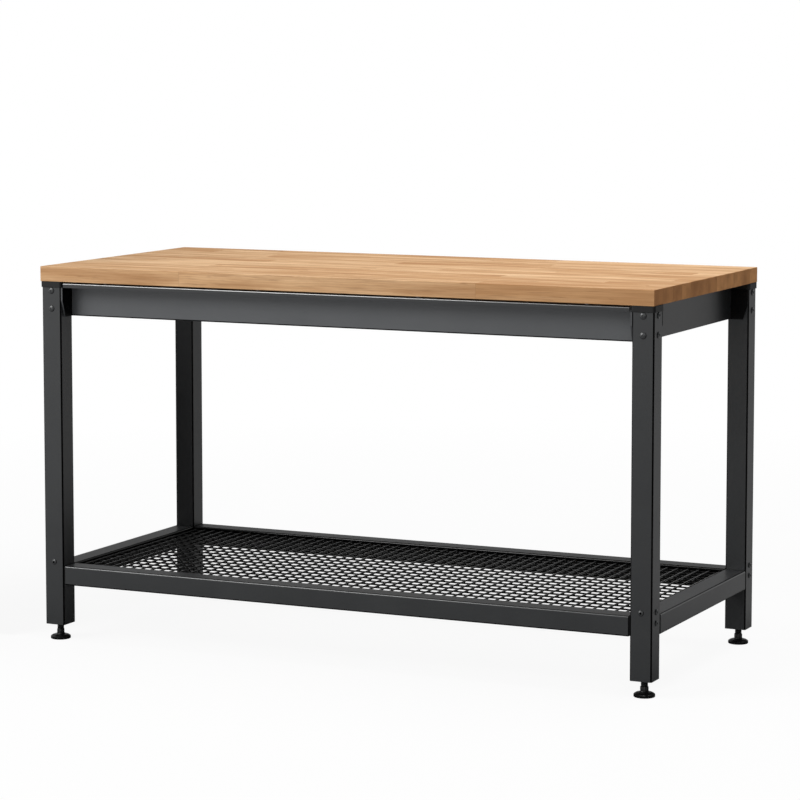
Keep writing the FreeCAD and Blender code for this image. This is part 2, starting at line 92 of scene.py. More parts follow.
# Noises in the wood: how much X counts, scale, detail, roughness
BEND_NOISE = (2.2, 1.0, 3.0, 0.5)
CLOUD_NOISE = (0.22, 26.0, 3.0, 0.55)
STREAK_NOISE = (0.06, 110.0, 4.0, 0.62)
STRIPE_NOISE = (0.05, 52.0, 2.0, 0.5)
FIBRE_NOISE = (0.035, 340.0, 3.0, 0.65)
MINERAL_NOISE = (0.30, 30.0, 3.0, 0.6)
MINERAL_FLATTEN = 1.6        # mineral streaks are this much flatter than wide
PORE_NOISE = (0.1, 900.0, 2.0, 0.7)

# Values at which a noise starts to show and shows in full, and how strongly it then covers
CLOUD_SHOWS = (0.35, 0.70, 0.55)
BROWN_STRIPE_SHOWS = (0.51, 0.61, 0.46)
PALE_STRIPE_SHOWS = (0.49, 0.39, 0.64)
STREAK_SHOWS = (0.42, 0.70, 0.54)
FLECK_SHOWS = (0.55, 0.72)
MINERAL_SHOWS = (0.66, 0.76)
END_CLOUD_SHOWS = (0.35, 0.65, 0.5)
END_PORE_SHOWS = (0.55, 0.7, 0.40)
LATE_COVER = 0.30
FLECK_COVER = 0.36
MINERAL_COVER = 0.40
END_LATE_COVER = 0.50
GLUE_COVER = 0.40
SIDE_PALE = 0.25             # pale stripes on the sides, as a share of those on the top

# Wood surface
WOOD_LIGHT = (0.86, 0.610, 0.375)
WOOD_PALE = (0.82, 0.560, 0.325)
WOOD_DEEP = (0.50, 0.270, 0.118)
WOOD_TAN = (0.47, 0.250, 0.108)
WOOD_BROWN = (0.35, 0.170, 0.068)
WOOD_DARK = (0.17, 0.078, 0.030)
END_PALE = (0.70, 0.345, 0.132)
END_DEEP = (0.42, 0.190, 0.068)
END_RING = (0.25, 0.105, 0.036)
WOOD_SPECULAR = 0.18
WOOD_ROUGHNESS = 0.52
FLECK_ROUGHNESS = 0.08       # added in flecks
STREAK_ROUGHNESS = 0.14      # in streaks
END_ROUGHNESS = 0.12         # and on end grain
FLECK_DIP = 0.5              # depth of flecks, as a share of a glue line's
WOOD_RELIEF = 0.35
WOOD_RELIEF_DEPTH = 0.0003

# Coats: darker tone, lighter tone, grain scale, roughness, its spread, relief of the grain
FRAME_TONES = ((0.017, 0.0182, 0.0195), (0.026, 0.0275, 0.029))
# parts in the plate coats painted near black as shade
PLATE_SHADE_TONES = ((0.002, 0.002, 0.002), (0.004, 0.004, 0.004))
FRAME_COAT = (*FRAME_TONES, 900.0, 0.40, 0.18, 0.16)
END_APRON_COAT = (*FRAME_TONES, 900.0, 0.30, 0.14, 0.12)
# web of the long aprons: lighter than the frame, as painted light
PAINTED_LIGHT_WEB_COAT = ((0.068, 0.0715, 0.076), (0.088, 0.092, 0.097), 900.0, 0.38, 0.18, 0.16)
BOLT_COAT = ((0.030, 0.0315, 0.033), (0.042, 0.044, 0.046), 600.0, 0.24, 0.20, 0.06)
PLATE_COAT = (*PLATE_SHADE_TONES, 800.0, 0.60, 0.15, 0.08)
FACE_PLATE_COAT = (*PLATE_SHADE_TONES, 800.0, 0.55, 0.15, 0.08)
WIRE_COAT = ((0.004, 0.004, 0.0042), (0.007, 0.007, 0.0073), 700.0, 0.16, 0.08, 0.03)
CAP_COAT = ((0.004, 0.004, 0.0042), (0.008, 0.008, 0.0082), 1500.0, 0.55, 0.15, 0.20)
STEEL_COAT = ((0.014, 0.0145, 0.015), (0.024, 0.0245, 0.025), 600.0, 0.30, 0.22, 0.06)
ZINC_COAT = ((0.42, 0.43, 0.45), (0.60, 0.61, 0.63), 420.0, 0.34, 0.25, 0.08)
CAST_COAT = ((0.46, 0.46, 0.47), (0.62, 0.62, 0.63), 500.0, 0.45, 0.25, 0.15)
PAD_COAT = ((0.003, 0.003, 0.0032), (0.006, 0.006, 0.0062), 1100.0, 0.22, 0.12, 0.05)
CUT_EDGE = (0.045, 0.047, 0.05)
# colour of painted shade: near black
PAINTED_SHADE_COLOUR = (0.003, 0.003, 0.003)

# Fine finish: detail and roughness of the speckle; scale, detail and roughness of the mottling
SPECKLE = (2.0, 0.55)
MOTTLE = (6.0, 3.0, 0.6)
SPECKLE_SHARE = 0.45
MOTTLE_SHARE = 0.55
TONE_RANGE = (0.3, 0.7)      # range of the finish's tone that runs from the darker to the lighter
GRAIN_DEPTH = 0.0004

# Specular levels
END_APRON_SPECULAR = 0.3
PLATE_SPECULAR = 0.10
WIRE_SPECULAR = 0.22
CAP_SPECULAR = 0.3
PAD_SPECULAR = 0.35

# Clear coats over glossy places
BEND_ROUGHNESS = 0.16        # on the bends of aprons and rails
LIP_IOR = 2.1                # on the lip's bend
RAIL_IOR = 1.45              # on the rails' bends
CREST_IOR = 2.4              # on the cross wires' crests
CREST_ROUGHNESS = 0.08

# Masks: values of the normal's parts over which each one runs
LOOKS_UP = (0.5, 0.8)        # worktop surface
LOOKS_ALONG = (0.6, 0.8)     # worktop ends
LOOKS_DOWN = (-0.05, -0.3)   # undersides, painted shade on rails and aprons
LOOKS_IN = (-0.02, -0.12)    # inner faces, painted shade on the rails; from the level normal times the place
LEG_CORNER = (0.2, 0.32)     # painted shade on the legs' rounded corners: product of the two level parts
# painted shade high on the rails' top bends
RAIL_BEND_SHADE = (0.74, 0.82, 0.985, 0.997)
RAIL_BEND_GLOSS = (0.08, 0.2, 0.62, 0.74)
# painted shade on the long aprons' top flange, under the worktop
LIP_TOP_SHADE = (0.8, 0.95)
LIP_GLOSS = (0.08, 0.2, 0.7, 0.85)
SHEET_EDGE = (0.4, 0.7)
# painted shade in the shelf bolts' sockets
SOCKET_FLAT = (0.96, 0.98)
SOCKET_SIDE = (0.25, 0.4)
CREST = (0.88, 0.96)

# Masks: heights
LIP_HEIGHT = 0.011           # front lip of the long aprons
LIP_BLEND = 0.001
HEAD_EDGE = (0.0007, 0.0016)     # bolt heads: painted shade as a shadow ring below the first, own tone above the second
SOCKET_FLOOR = (0.0019, 0.0023)  # a flat face below these is the floor of a socket, painted shade
LAYER_BLEND = 0.0005         # between the two layers of wires

# Levelling studs
THREAD_PITCH = 0.002
THREAD_DEPTH = 0.0011
FLANK_SLOPE = 1.35           # the thread's triangle is made steeper by this
FLANK_DROP = 0.15            # and lowered by this before it is clipped
PIVOT_RADIUS = 0.006
SHANK_RADIUS = 0.008
COLLAR_GAP = 0.0003          # between the pad and the collar
COLLAR_HEIGHT = 0.0092
COLLAR_CHAMFER = 0.0009
TIP_LENGTH = 0.0015          # the thread runs out over this
STUD_SIDES = 48
ROWS_PER_TURN = 8
STUD_SHARP = 40              # degrees above which an edge stays sharp

# Wire shelf welds
WIRE = 0.004
CROSS_PITCH = 0.0259
LONG_PITCH = 0.0334
WELD_RADIUS = 0.0026
WELD_HEIGHT = 0.0012
WELD_SIDES = 8
WELD_RISE = (-1.0, -0.55, 0.55, 1.0)     # levels of the bead's rings
WELD_SPREAD = (0.35, 1.0, 1.0, 0.35)     # and their radii
WELD_SHARP = 60

# Studio light
LIT_SIDE = (-0.42, -0.91)    # towards the lit side, on the floor
MIRROR_LIT = 1.0             # surroundings mirrored on the lit side
MIRROR_DIM = 0.50            # and on the far side
MIRROR_BEHIND = 0.48         # painted shade on the mirrored floor behind the bench
MIRROR_NEAR = 0.30           # painted shade on the mirrored floor near the bench, as a share of the lit side
SOFT_LIGHT = 0.75            # share of those that lights matt surfaces
WORLD_ACROSS = (-0.8, 0.9)   # from the far side to the lit side
WORLD_RIGHT = (0.42, 0.85, 1.0, 0.10)    # dimmer to the right
WORLD_BACK = (0.2, 0.6)      # dimmer at the back
WORLD_HIGH = (0.12, 0.40, 0.8)           # above the horizon
KEY_LAMP = {"place": (-2.6, -3.4, 3.0), "target": (0, 0, 0.6),
            "width": 2.6, "height": 2.0, "power": 118.0}
OVERHEAD_LAMP = {"place": (0.9, 0.2, 3.2), "target": (0.3, 0, 0.8),
                 "width": 2.6, "height": 1.6, "power": 58.0}

# Studio floor and card
FLOOR_SIZE = 40.0
FLOOR_LEVEL = -0.0002
FLOOR_SHADE = 0.08           # share of the floor that takes the shadow
SHADE_FADES = (1.2, 4.0)     # distances over which that share fades
SHADE_WHITE = 0.8
FLOOR_BOUNCE = 0.62
GLOW_REACH = (0.7, 5.0)      # distances over which the painted shade near the bench fades on the mirrored floor
GLOW_LEFT = (-6.0, 1.0, 1.25, 0.5)       # painted light, brighter to the left
GLOW_RIGHT = (0.8, 2.0, 1.0, 0.1)        # painted shade, dimmer to the right
GLOW_BEHIND = (-0.6, 0.6)    # from behind the bench to the lit side
GLOW_UNDER = (-0.05, 0.35, 0.1, 1.0)     # painted shadow under the bench, up to beside it
CARD_LEFT, CARD_RIGHT = -1.75, -0.86
CARD_DEPTH = -0.33
CARD_HEIGHT = 1.15

# Camera
SENSOR_WIDTH = 36.0          # mm
LENS = 133.99                # mm
SHIFT = -0.1                 # upright shift that frames the bench
CAMERA_PLACE = (2.948, -6.2565, 1.4277)
CAMERA_PITCH = 5.523         # degrees below level
CAMERA_TURN = 25.192         # degrees from straight on
CLIP_END = 200.0


# Shader nodes

def put(tree, socket, value):
    """Feeds a socket: a link where the value is another socket, otherwise its own default value."""
    if isinstance(value, bpy.types.NodeSocket):
        tree.links.new(value, socket)
    else:
        socket.default_value = value


def add(tree, kind, inputs=None, **settings):
    """New shader node with its settings, and its inputs fed by name or index."""
    made = tree.nodes.new("ShaderNode" + kind)
    for name, value in settings.items():
        setattr(made, name, value)
    for name, value in (inputs or {}).items():
        put(tree, made.inputs[name], value)
    return made


def calc(tree, operation, *values):
    """One Math node on up to three values."""
    return add(tree, "Math", dict(enumerate(values)), operation=operation).outputs[0]


def remap(tree, value, low, high, to_low, to_high):
    """Straight line from low..high to to_low..to_high, held at both ends."""
    return add(tree, "MapRange", {0: value, 1: low, 2: high, 3: to_low, 4: to_high}).outputs[0]


def ramp(tree, value, low, high, top=1.0):
    """Straight line from nought at low to top at high, held at both ends."""
    return remap(tree, value, low, high, 0.0, top)


def fade(tree, value, low, high):
    """Straight line from one at low to nought at high, held at both ends."""
    return remap(tree, value, low, high, 1.0, 0.0)


def between(tree, value, low, rise, fall, high):
    """One from rise to fall, running down to nought at low and at high."""
    return calc(tree, "MULTIPLY", ramp(tree, value, low, rise), fade(tree, value, fall, high))


def blend(tree, factor, first, second):
    """Mixes two numbers."""
    return add(tree, "Mix", {0: factor, 2: first, 3: second}).outputs[0]


def mix(tree, factor, first, second):
    """Mixes two colours, each a socket or three numbers."""
    made = add(tree, "Mix", {0: factor}, data_type="RGBA")
    for index, colour in ((6, first), (7, second)):
        put(tree, made.inputs[index], (*colour, 1) if isinstance(colour, tuple) else colour)
    return made.outputs[2]


def combine(tree, x, y, z):
    """Vector of three numbers."""
    return add(tree, "CombineXYZ", {0: x, 1: y, 2: z}).outputs[0]


def noise(tree, vector, scale, detail, roughness):
    """Layered noise at a place."""
    inputs = {"Vector": vector, "Scale": scale, "Detail": detail, "Roughness": roughness}
    return add(tree, "TexNoise", inputs).outputs[0]


def length_of(tree, *parts):
    """Square root of the sum of squares."""
    total = calc(tree, "MULTIPLY", parts[0], parts[0])
    for part in parts[1:]:
        total = calc(tree, "MULTIPLY_ADD", part, part, total)
    return calc(tree, "SQRT", total)


def object_place(tree):
    """Place in the object's own coordinates."""
    return add(tree, "TexCoord").outputs["Object"]


def place_axes(tree):
    """The three parts of that place."""
    return add(tree, "SeparateXYZ", {0: object_place(tree)}).outputs


def normal_axes(tree):
    """The three parts of the surface normal."""
    return add(tree, "SeparateXYZ", {0: add(tree, "TexCoord").outputs["Normal"]}).outputs


def new_material(name, **constants):
    """Material with one Principled shader, whose unvarying values are set on its own sockets."""
    material = bpy.data.materials.new(name)
    material.use_nodes = True
    tree = material.node_tree
    shader = tree.nodes["Principled BSDF"]
    for socket, value in constants.items():
        shader.inputs[socket.replace("_", " ")].default_value = value
    return material, tree, shader


# Coats

def make_finish_group():
    """Fine surface of a coating or moulding: a sum of speckle and slow mottling, both noise.

    It gives the tone, a roughness that swings with the tone, and the speckle as height.
    """
    group = bpy.data.node_groups.new("fine_finish", "ShaderNodeTree")
    for name in ("Grain Scale", "Roughness", "Spread"):
        group.interface.new_socket(name, in_out="INPUT", socket_type="NodeSocketFloat")
    for name in ("Tone", "Roughness", "Height"):
        group.interface.new_socket(name, in_out="OUTPUT", socket_type="NodeSocketFloat")
    given = group.nodes.new("NodeGroupInput").outputs
    result = group.nodes.new("NodeGroupOutput").inputs
    place = object_place(group)
    grain = noise(group, place, given["Grain Scale"], *SPECKLE)
    cloud = noise(group, place, *MOTTLE)
    tone = calc(group, "ADD", calc(group, "MULTIPLY", grain, SPECKLE_SHARE),
                calc(group, "MULTIPLY", cloud, MOTTLE_SHARE))
    swing = calc(group, "SUBTRACT", tone, 0.5)
    rough = calc(group, "MULTIPLY_ADD", swing, given["Spread"], given["Roughness"])
    put(group, result["Tone"], tone)
    put(group, result["Roughness"], rough)
    put(group, result["Height"], grain)
    return group


def coated(name, group, dark, light, grain_scale, roughness, spread, bump, **constants):
    """Coated or moulded surface: two tones mixed by the finish group's tone, with its roughness."""
    material, tree, shader = new_material(name, **constants)
    finish = add(tree, "Group", node_tree=group)
    finish.inputs["Grain Scale"].default_value = grain_scale
    finish.inputs["Roughness"].default_value = roughness
    finish.inputs["Spread"].default_value = spread
    tone = ramp(tree, finish.outputs["Tone"], *TONE_RANGE)
    put(tree, shader.inputs["Base Color"], mix(tree, tone, dark, light))
    put(tree, shader.inputs["Roughness"], finish.outputs["Roughness"])
    relief = add(tree, "Bump", {"Strength": bump, "Distance": GRAIN_DEPTH,
                                "Height": finish.outputs["Height"]})
    put(tree, shader.inputs["Normal"], relief.outputs[0])
    return material


def inside_faces(tree):
    """Mask of faces that look inwards: the level parts of their normal and place point apart."""
    coordinates = add(tree, "TexCoord").outputs
    facing = add(tree, "VectorMath", {0: coordinates["Normal"], 1: (1.0, 1.0, 0.0)},
                 operation="MULTIPLY").outputs[0]
    outward = add(tree, "VectorMath", {0: facing, 1: coordinates["Object"]},
                  operation="DOT_PRODUCT").outputs["Value"]
    return ramp(tree, outward, *LOOKS_IN)


def upright_corners(tree):
    """Mask of corners between upright faces, from the product of the normal's two level parts.

    That product is nought on flat faces and a half in the middle of a corner.
    """
    axes = normal_axes(tree)
    product = calc(tree, "ABSOLUTE", calc(tree, "MULTIPLY", axes[X], axes[Y]))
    return ramp(tree, product, *LEG_CORNER)


def shader_of(material):
    """A material's node tree and its Principled shader."""
    return material.node_tree, material.node_tree.nodes["Principled BSDF"]


def tint(material, mask, colour):
    """Mixes a colour over what feeds the base colour, where the mask is one."""
    tree, shader = shader_of(material)
    coat = shader.inputs["Base Color"].links[0].from_socket
    put(tree, shader.inputs["Base Color"], mix(tree, mask, coat, colour))


def paint_shade_and_coat(material, painted_shade, gloss=None):
    """Feeds a coat two masks: painted shade turns near black, glossy places get a clear coat."""
    tree, shader = shader_of(material)
    tint(material, painted_shade, PAINTED_SHADE_COLOUR)
    # Metallic at one over the near-black colour takes the sheen away too: painted shade
    put(tree, shader.inputs["Metallic"], painted_shade)
    if gloss is not None:
        put(tree, shader.inputs["Coat Weight"], gloss)


def make_rail_coat(group):
    """Frame coat on the rails: painted shade inside, below and high on top bends; glossy lower on
    them.
    """
    material = coated("rail_coat", group, *FRAME_COAT, Coat_IOR=RAIL_IOR,
                      Coat_Roughness=BEND_ROUGHNESS)
    tree = material.node_tree
    rise = normal_axes(tree)[Z]
    # painted shade: inner faces, high on the top bends, and undersides
    painted_shade = calc(tree, "MAXIMUM", inside_faces(tree), between(tree, rise, *RAIL_BEND_SHADE))
    painted_shade = calc(tree, "MAXIMUM", painted_shade, ramp(tree, rise, *LOOKS_DOWN))
    paint_shade_and_coat(material, painted_shade, between(tree, rise, *RAIL_BEND_GLOSS))
    return material


def make_leg_coat(group):
    """Frame coat on the legs, with painted shade, near black, over the rounded corners."""
    material = coated("leg_coat", group, *FRAME_COAT)
    paint_shade_and_coat(material, upright_corners(material.node_tree))
    return material


def make_apron_coat(group):
    """Long aprons: web lighter than lip as painted light, glossy top bend, painted shade top and
    under.
    """
    material = coated("apron_coat", group, *PAINTED_LIGHT_WEB_COAT, Coat_IOR=LIP_IOR,
                      Coat_Roughness=BEND_ROUGHNESS)
    tree = material.node_tree
    # the lip keeps the frame's own tone; the web's lighter tone is painted light
    lip_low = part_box("apron_front")[1][Z] - LIP_HEIGHT
    lip = ramp(tree, place_axes(tree)[Z], lip_low - LIP_BLEND, lip_low)
    tint(material, lip, FRAME_TONES[0])
    rise = normal_axes(tree)[Z]
    # painted shade on the top flange and on the underside
    painted_shade = calc(tree, "MAXIMUM", ramp(tree, rise, *LIP_TOP_SHADE), ramp(tree, rise, *LOOKS_DOWN))
    paint_shade_and_coat(material, painted_shade, between(tree, rise, *LIP_GLOSS))
    return material


def make_bolt_coat(group, name, axis, dark_socket):
    """Bolts along one axis: heads lighter than the frame, a painted shadow ring where least proud
    of the leg.

    A dark socket is painted shade too: its sides have normals across the axis, and its floor looks
    along it, low in the head.
    """
    material = coated(name, group, *BOLT_COAT)
    tree = material.node_tree
    place = calc(tree, "ABSOLUTE", place_axes(tree)[axis])
    proud = calc(tree, "SUBTRACT", place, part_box("leg_rr")[1][axis])
    painted_shade = fade(tree, proud, *HEAD_EDGE)
    if dark_socket:
        along = calc(tree, "ABSOLUTE", normal_axes(tree)[axis])
        flat = ramp(tree, along, *SOCKET_FLAT)
        floor = calc(tree, "MULTIPLY", flat, fade(tree, proud, *SOCKET_FLOOR))
        painted_shade = calc(tree, "MAXIMUM", painted_shade, floor)
        painted_shade = calc(tree, "MAXIMUM", painted_shade, fade(tree, along, *SOCKET_SIDE))
    paint_shade_and_coat(material, painted_shade)
    return material


def make_face_plate_coat(group):
    """Long aprons' end plates: broad faces near black as painted shade; cut edges, not facing along
    X, lighter.
    """
    material = coated("face_plate_coat", group, *FACE_PLATE_COAT)
    tree, shader = shader_of(material)
    edge = fade(tree, calc(tree, "ABSOLUTE", normal_axes(tree)[X]), *SHEET_EDGE)
    tint(material, edge, CUT_EDGE)
    # Metallic at one on the broad faces takes their sheen away: painted shade
    put(tree, shader.inputs["Metallic"], calc(tree, "SUBTRACT", 1.0, edge))
    return material


def make_wire_coat(group):
    """Black coat on the shelf's wires: the upper layer, which runs across, has a glossy crest."""
    material = coated("wire_coating", group, *WIRE_COAT, Specular_IOR_Level=WIRE_SPECULAR,
                      Coat_IOR=CREST_IOR, Coat_Roughness=CREST_ROUGHNESS)
    tree, shader = shader_of(material)
    low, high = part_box("shelf_mesh")
    middle = (low[Z] + high[Z]) / 2
    upper = ramp(tree, place_axes(tree)[Z], middle, middle + LAYER_BLEND)
    crest = ramp(tree, normal_axes(tree)[Z], *CREST)
    put(tree, shader.inputs["Coat Weight"], calc(tree, "MULTIPLY", upper, crest))
    return material


# Wood

def cut_staves(tree, x, y, low, width):
    """Staves side by side along Y, each cut along X into equal lengths from a random start.

    Gives the stave's number and the place across it, the length's number and the place along it,
    and a mask of the front stave. Distance over size has the number as its whole part and the place
    as its fraction.
    """
    from_front = calc(tree, "SUBTRACT", y, low[Y] - STAVE_START)
    across = calc(tree, "DIVIDE", from_front, width + STAVE_SLACK)
    stave = calc(tree, "FLOOR", across)
    within = calc(tree, "FRACT", across)
    start = add(tree, "TexWhiteNoise", {"W": stave}, noise_dimensions="1D").outputs[0]
    front = calc(tree, "COMPARE", stave, 0.0, 0.5)
    offset = blend(tree, front, calc(tree, "MULTIPLY", start, JOINT_SPREAD), EDGE_START)
    along = calc(tree, "ADD", offset, calc(tree, "DIVIDE", x, STAVE_LENGTH))
    length = calc(tree, "FLOOR", along)
    toward = calc(tree, "FRACT", along)
    return stave, within, length, toward, front


def draw_lengths(tree, stave, length, front):
    """Each length's own tone, two random numbers for its rings, and a far place for its grain.

    The front stave's tones are set, by a line from its middle length to its ends and one along it.
    """
    drawn = add(tree, "TexWhiteNoise", {"Vector": combine(tree, stave, length, DRAW_SEED)},
                noise_dimensions="3D")
    draws = add(tree, "SeparateColor", {0: drawn.outputs[1]}).outputs
    shift, tilt = draws[1], draws[2]
    front_tone = remap(tree, calc(tree, "ABSOLUTE", length), 0.0, 1.0,
                       EDGE_MIDDLE_TONE, EDGE_END_TONE)
    front_tone = calc(tree, "MULTIPLY_ADD", length, EDGE_DEEPEN, front_tone)
    tone = blend(tree, front, draws[0], front_tone)
    far = calc(tree, "MULTIPLY", calc(tree, "ADD", shift, length), FAR_STEP)
    return tone, shift, tilt, far


def wood_noise(tree, x, y, z, far, stretch, scale, detail, roughness):
    """Noise drawn out along the wood: X counts by the stretch only, and starts at the far place."""
    place = combine(tree, calc(tree, "MULTIPLY_ADD", x, stretch, far), y, z)
    return noise(tree, place, scale, detail, roughness)


def late_wood(tree, x, y, z, within, width, low, shift, tilt, far):
    """Late wood of growth rings: circles about an axis below each stave, bent slowly along it.

    It is a power of the fraction that radius over ring spacing leaves.
    """
    bend = wood_noise(tree, x, y, z, far, *BEND_NOISE)
    side = calc(tree, "MULTIPLY", calc(tree, "SUBTRACT", within, 0.5), width)
    ring_y = calc(tree, "MULTIPLY_ADD", calc(tree, "SUBTRACT", shift, 0.5), RING_SWING, side)
    axis_z = calc(tree, "MULTIPLY_ADD", tilt, RING_RISE, low[Z] - RING_DEPTH)
    ring_z = calc(tree, "SUBTRACT", z, axis_z)
    radius = calc(tree, "MULTIPLY_ADD", bend, RING_BEND, length_of(tree, ring_y, ring_z))
    ring = calc(tree, "FRACT", calc(tree, "DIVIDE", radius, RING_SPACING))
    return calc(tree, "POWER", ring, LATE_POWER)


def glue_lines(tree, within, toward, width):
    """Mask of the lines between staves and at butt joints, from the distance to the nearest one."""
    edge = calc(tree, "MINIMUM", within, calc(tree, "SUBTRACT", 1.0, within))
    butt = calc(tree, "MINIMUM", toward, calc(tree, "SUBTRACT", 1.0, toward))
    seam = calc(tree, "MINIMUM", calc(tree, "MULTIPLY", edge, width),
                calc(tree, "MULTIPLY", butt, STAVE_LENGTH))
    return fade(tree, seam, GLUE_LINE * GLUE_CORE, GLUE_LINE)


def make_butcher_block():
    """Solid wood: each length in its own tone, covered in turn by clouds, stripes and streaks.

    All of these are noises drawn out along X. End grain is darker and shows rings and pores more.
    """
    material, tree, shader = new_material("butcher_block", Specular_IOR_Level=WOOD_SPECULAR)
    low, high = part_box("worktop")
    width = (high[Y] - low[Y]) / STAVE_COUNT
    x, y, z = place_axes(tree)
    stave, within, length, toward, front = cut_staves(tree, x, y, low, width)
    tone, shift, tilt, far = draw_lengths(tree, stave, length, front)
    late = late_wood(tree, x, y, z, within, width, low, shift, tilt, far)

    cloud = wood_noise(tree, x, y, z, far, *CLOUD_NOISE)
    streak = wood_noise(tree, x, y, z, far, *STREAK_NOISE)
    stripe = wood_noise(tree, x, y, z, far, *STRIPE_NOISE)
    fleck = ramp(tree, wood_noise(tree, x, y, z, far, *FIBRE_NOISE), *FLECK_SHOWS)
    flattened = calc(tree, "MULTIPLY", z, MINERAL_FLATTEN)
    mineral = ramp(tree, wood_noise(tree, x, y, flattened, far, *MINERAL_NOISE), *MINERAL_SHOWS)

    facing = normal_axes(tree)
    top = remap(tree, facing[Z], *LOOKS_UP, SIDE_PALE, 1.0)
    pale = calc(tree, "MULTIPLY", ramp(tree, stripe, *PALE_STRIPE_SHOWS), top)
    body = mix(tree, tone, WOOD_DEEP, WOOD_PALE)
    body = mix(tree, ramp(tree, cloud, *CLOUD_SHOWS), body, WOOD_TAN)
    body = mix(tree, ramp(tree, stripe, *BROWN_STRIPE_SHOWS), body, WOOD_BROWN)
    body = mix(tree, pale, body, WOOD_LIGHT)
    body = mix(tree, ramp(tree, streak, *STREAK_SHOWS), body, WOOD_BROWN)
    body = mix(tree, calc(tree, "MULTIPLY", late, LATE_COVER), body, WOOD_BROWN)
    body = mix(tree, calc(tree, "MULTIPLY", fleck, FLECK_COVER), body, WOOD_DARK)
    body = mix(tree, calc(tree, "MULTIPLY", mineral, MINERAL_COVER), body, WOOD_DARK)

    end = ramp(tree, calc(tree, "ABSOLUTE", facing[X]), *LOOKS_ALONG)
    pore = wood_noise(tree, x, y, z, 0.0, *PORE_NOISE)
    cut = mix(tree, tone, END_DEEP, END_PALE)
    cut = mix(tree, ramp(tree, cloud, *END_CLOUD_SHOWS), cut, END_RING)
    cut = mix(tree, calc(tree, "MULTIPLY", late, END_LATE_COVER), cut, END_RING)
    cut = mix(tree, ramp(tree, pore, *END_PORE_SHOWS), cut, END_RING)
    body = mix(tree, end, body, cut)

    line = glue_lines(tree, within, toward, width)
    body = mix(tree, calc(tree, "MULTIPLY", line, GLUE_COVER), body, WOOD_DARK)
    put(tree, shader.inputs["Base Color"], body)

    rough = calc(tree, "MULTIPLY_ADD", fleck, FLECK_ROUGHNESS, WOOD_ROUGHNESS)
    rough = calc(tree, "MULTIPLY_ADD", streak, STREAK_ROUGHNESS, rough)
    rough = calc(tree, "MULTIPLY_ADD", end, END_ROUGHNESS, rough)
    put(tree, shader.inputs["Roughness"], rough)
    dip = calc(tree, "SUBTRACT", calc(tree, "MULTIPLY", fleck, -FLECK_DIP), line)
    relief = add(tree, "Bump", {"Strength": WOOD_RELIEF, "Distance": WOOD_RELIEF_DEPTH,
                                "Height": dip})
    put(tree, shader.inputs["Normal"], relief.outputs[0])
    return material


# Meshes

def mesh_object(name, points, faces, material):
    """Mesh object at the origin from an array of points and an array of quads."""
    mesh = bpy.data.meshes.new(name)
    mesh.from_pydata(points.tolist(), [], faces.tolist())
    mesh.validate()
    mesh.materials.append(material)
    made = bpy.data.objects.new(name, mesh)
    scene.collection.objects.link(made)
    return made


def smooth(piece, degrees):
    """Smooth shading with edges sharper than the angle kept."""
    piece.data.polygons.foreach_set("use_smooth", np.ones(len(piece.data.polygons), bool))
    piece.data.set_sharp_from_angle(angle=math.radians(degrees))


def grid_faces(rows, columns):
    """Quads of a grid of points whose columns close into a ring."""
    row, column = np.meshgrid(np.arange(rows - 1), np.arange(columns), indexing="ij")
    here = row * columns + column
    right = row * columns + (column + 1) % columns
    return np.stack([here, right, right + columns, here + columns], -1).reshape(-1, 4)


def make_stud(corner, material):
    """Stud as rings of radius r(turn, height): pivot, chamfered hexagonal collar, threaded shank.

    The hexagon's radius is half its flats over the cosine of the turn from the nearest flat's
    middle. The thread's radius falls and rises as a clipped triangle of height / pitch minus
    turn / full turn.
    """
    low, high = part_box("stud_" + corner)
    middle = [(low[X] + high[X]) / 2, (low[Y] + high[Y]) / 2]
    turn = np.arange(STUD_SIDES) * 2 * math.pi / STUD_SIDES
    flats = high[Y] - low[Y]
    collar_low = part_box("pad_" + corner)[1][Z] + COLLAR_GAP
    collar_high = collar_low + COLLAR_HEIGHT
    hexagon = flats / 2 / np.cos(turn % (math.pi / 3) - math.pi / 6)
    chamfered = np.minimum(hexagon, hexagon.max() - COLLAR_CHAMFER)

    steps = int((high[Z] - collar_high) / THREAD_PITCH * ROWS_PER_TURN)
    heights = np.linspace(collar_high, high[Z], steps)
    phase = (heights[:, None] / THREAD_PITCH - turn[None, :] / (2 * math.pi)) % 1.0
    crest = np.clip(FLANK_SLOPE * np.abs(2 * phase - 1) - FLANK_DROP, 0, 1)
    tip = np.clip((high[Z] - heights) / TIP_LENGTH, 0, 1)[:, None]
    threads = SHANK_RADIUS - THREAD_DEPTH * (1 - crest * tip)

    ring = np.ones(STUD_SIDES)
    pivot = PIVOT_RADIUS * ring
    radii = [0 * ring, pivot, pivot, chamfered, hexagon, hexagon, chamfered]
    levels = [low[Z], low[Z], collar_low, collar_low, collar_low + COLLAR_CHAMFER / 2,
              collar_high - COLLAR_CHAMFER / 2, collar_high]
    radius = np.vstack([np.array(radii), threads, [0 * ring]])
    level = np.concatenate([levels, heights, [high[Z]]])
    points = np.stack([middle[X] + radius * np.cos(turn), middle[Y] + radius * np.sin(turn),
                       np.repeat(level[:, None], STUD_SIDES, 1)], -1)
    piece = mesh_object("threaded_stud_" + corner, points.reshape(-1, 3),
                        grid_faces(len(level), STUD_SIDES), material)
    smooth(piece, STUD_SHARP)
    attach(piece, "screw_" + corner)
    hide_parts("stud_" + corner)


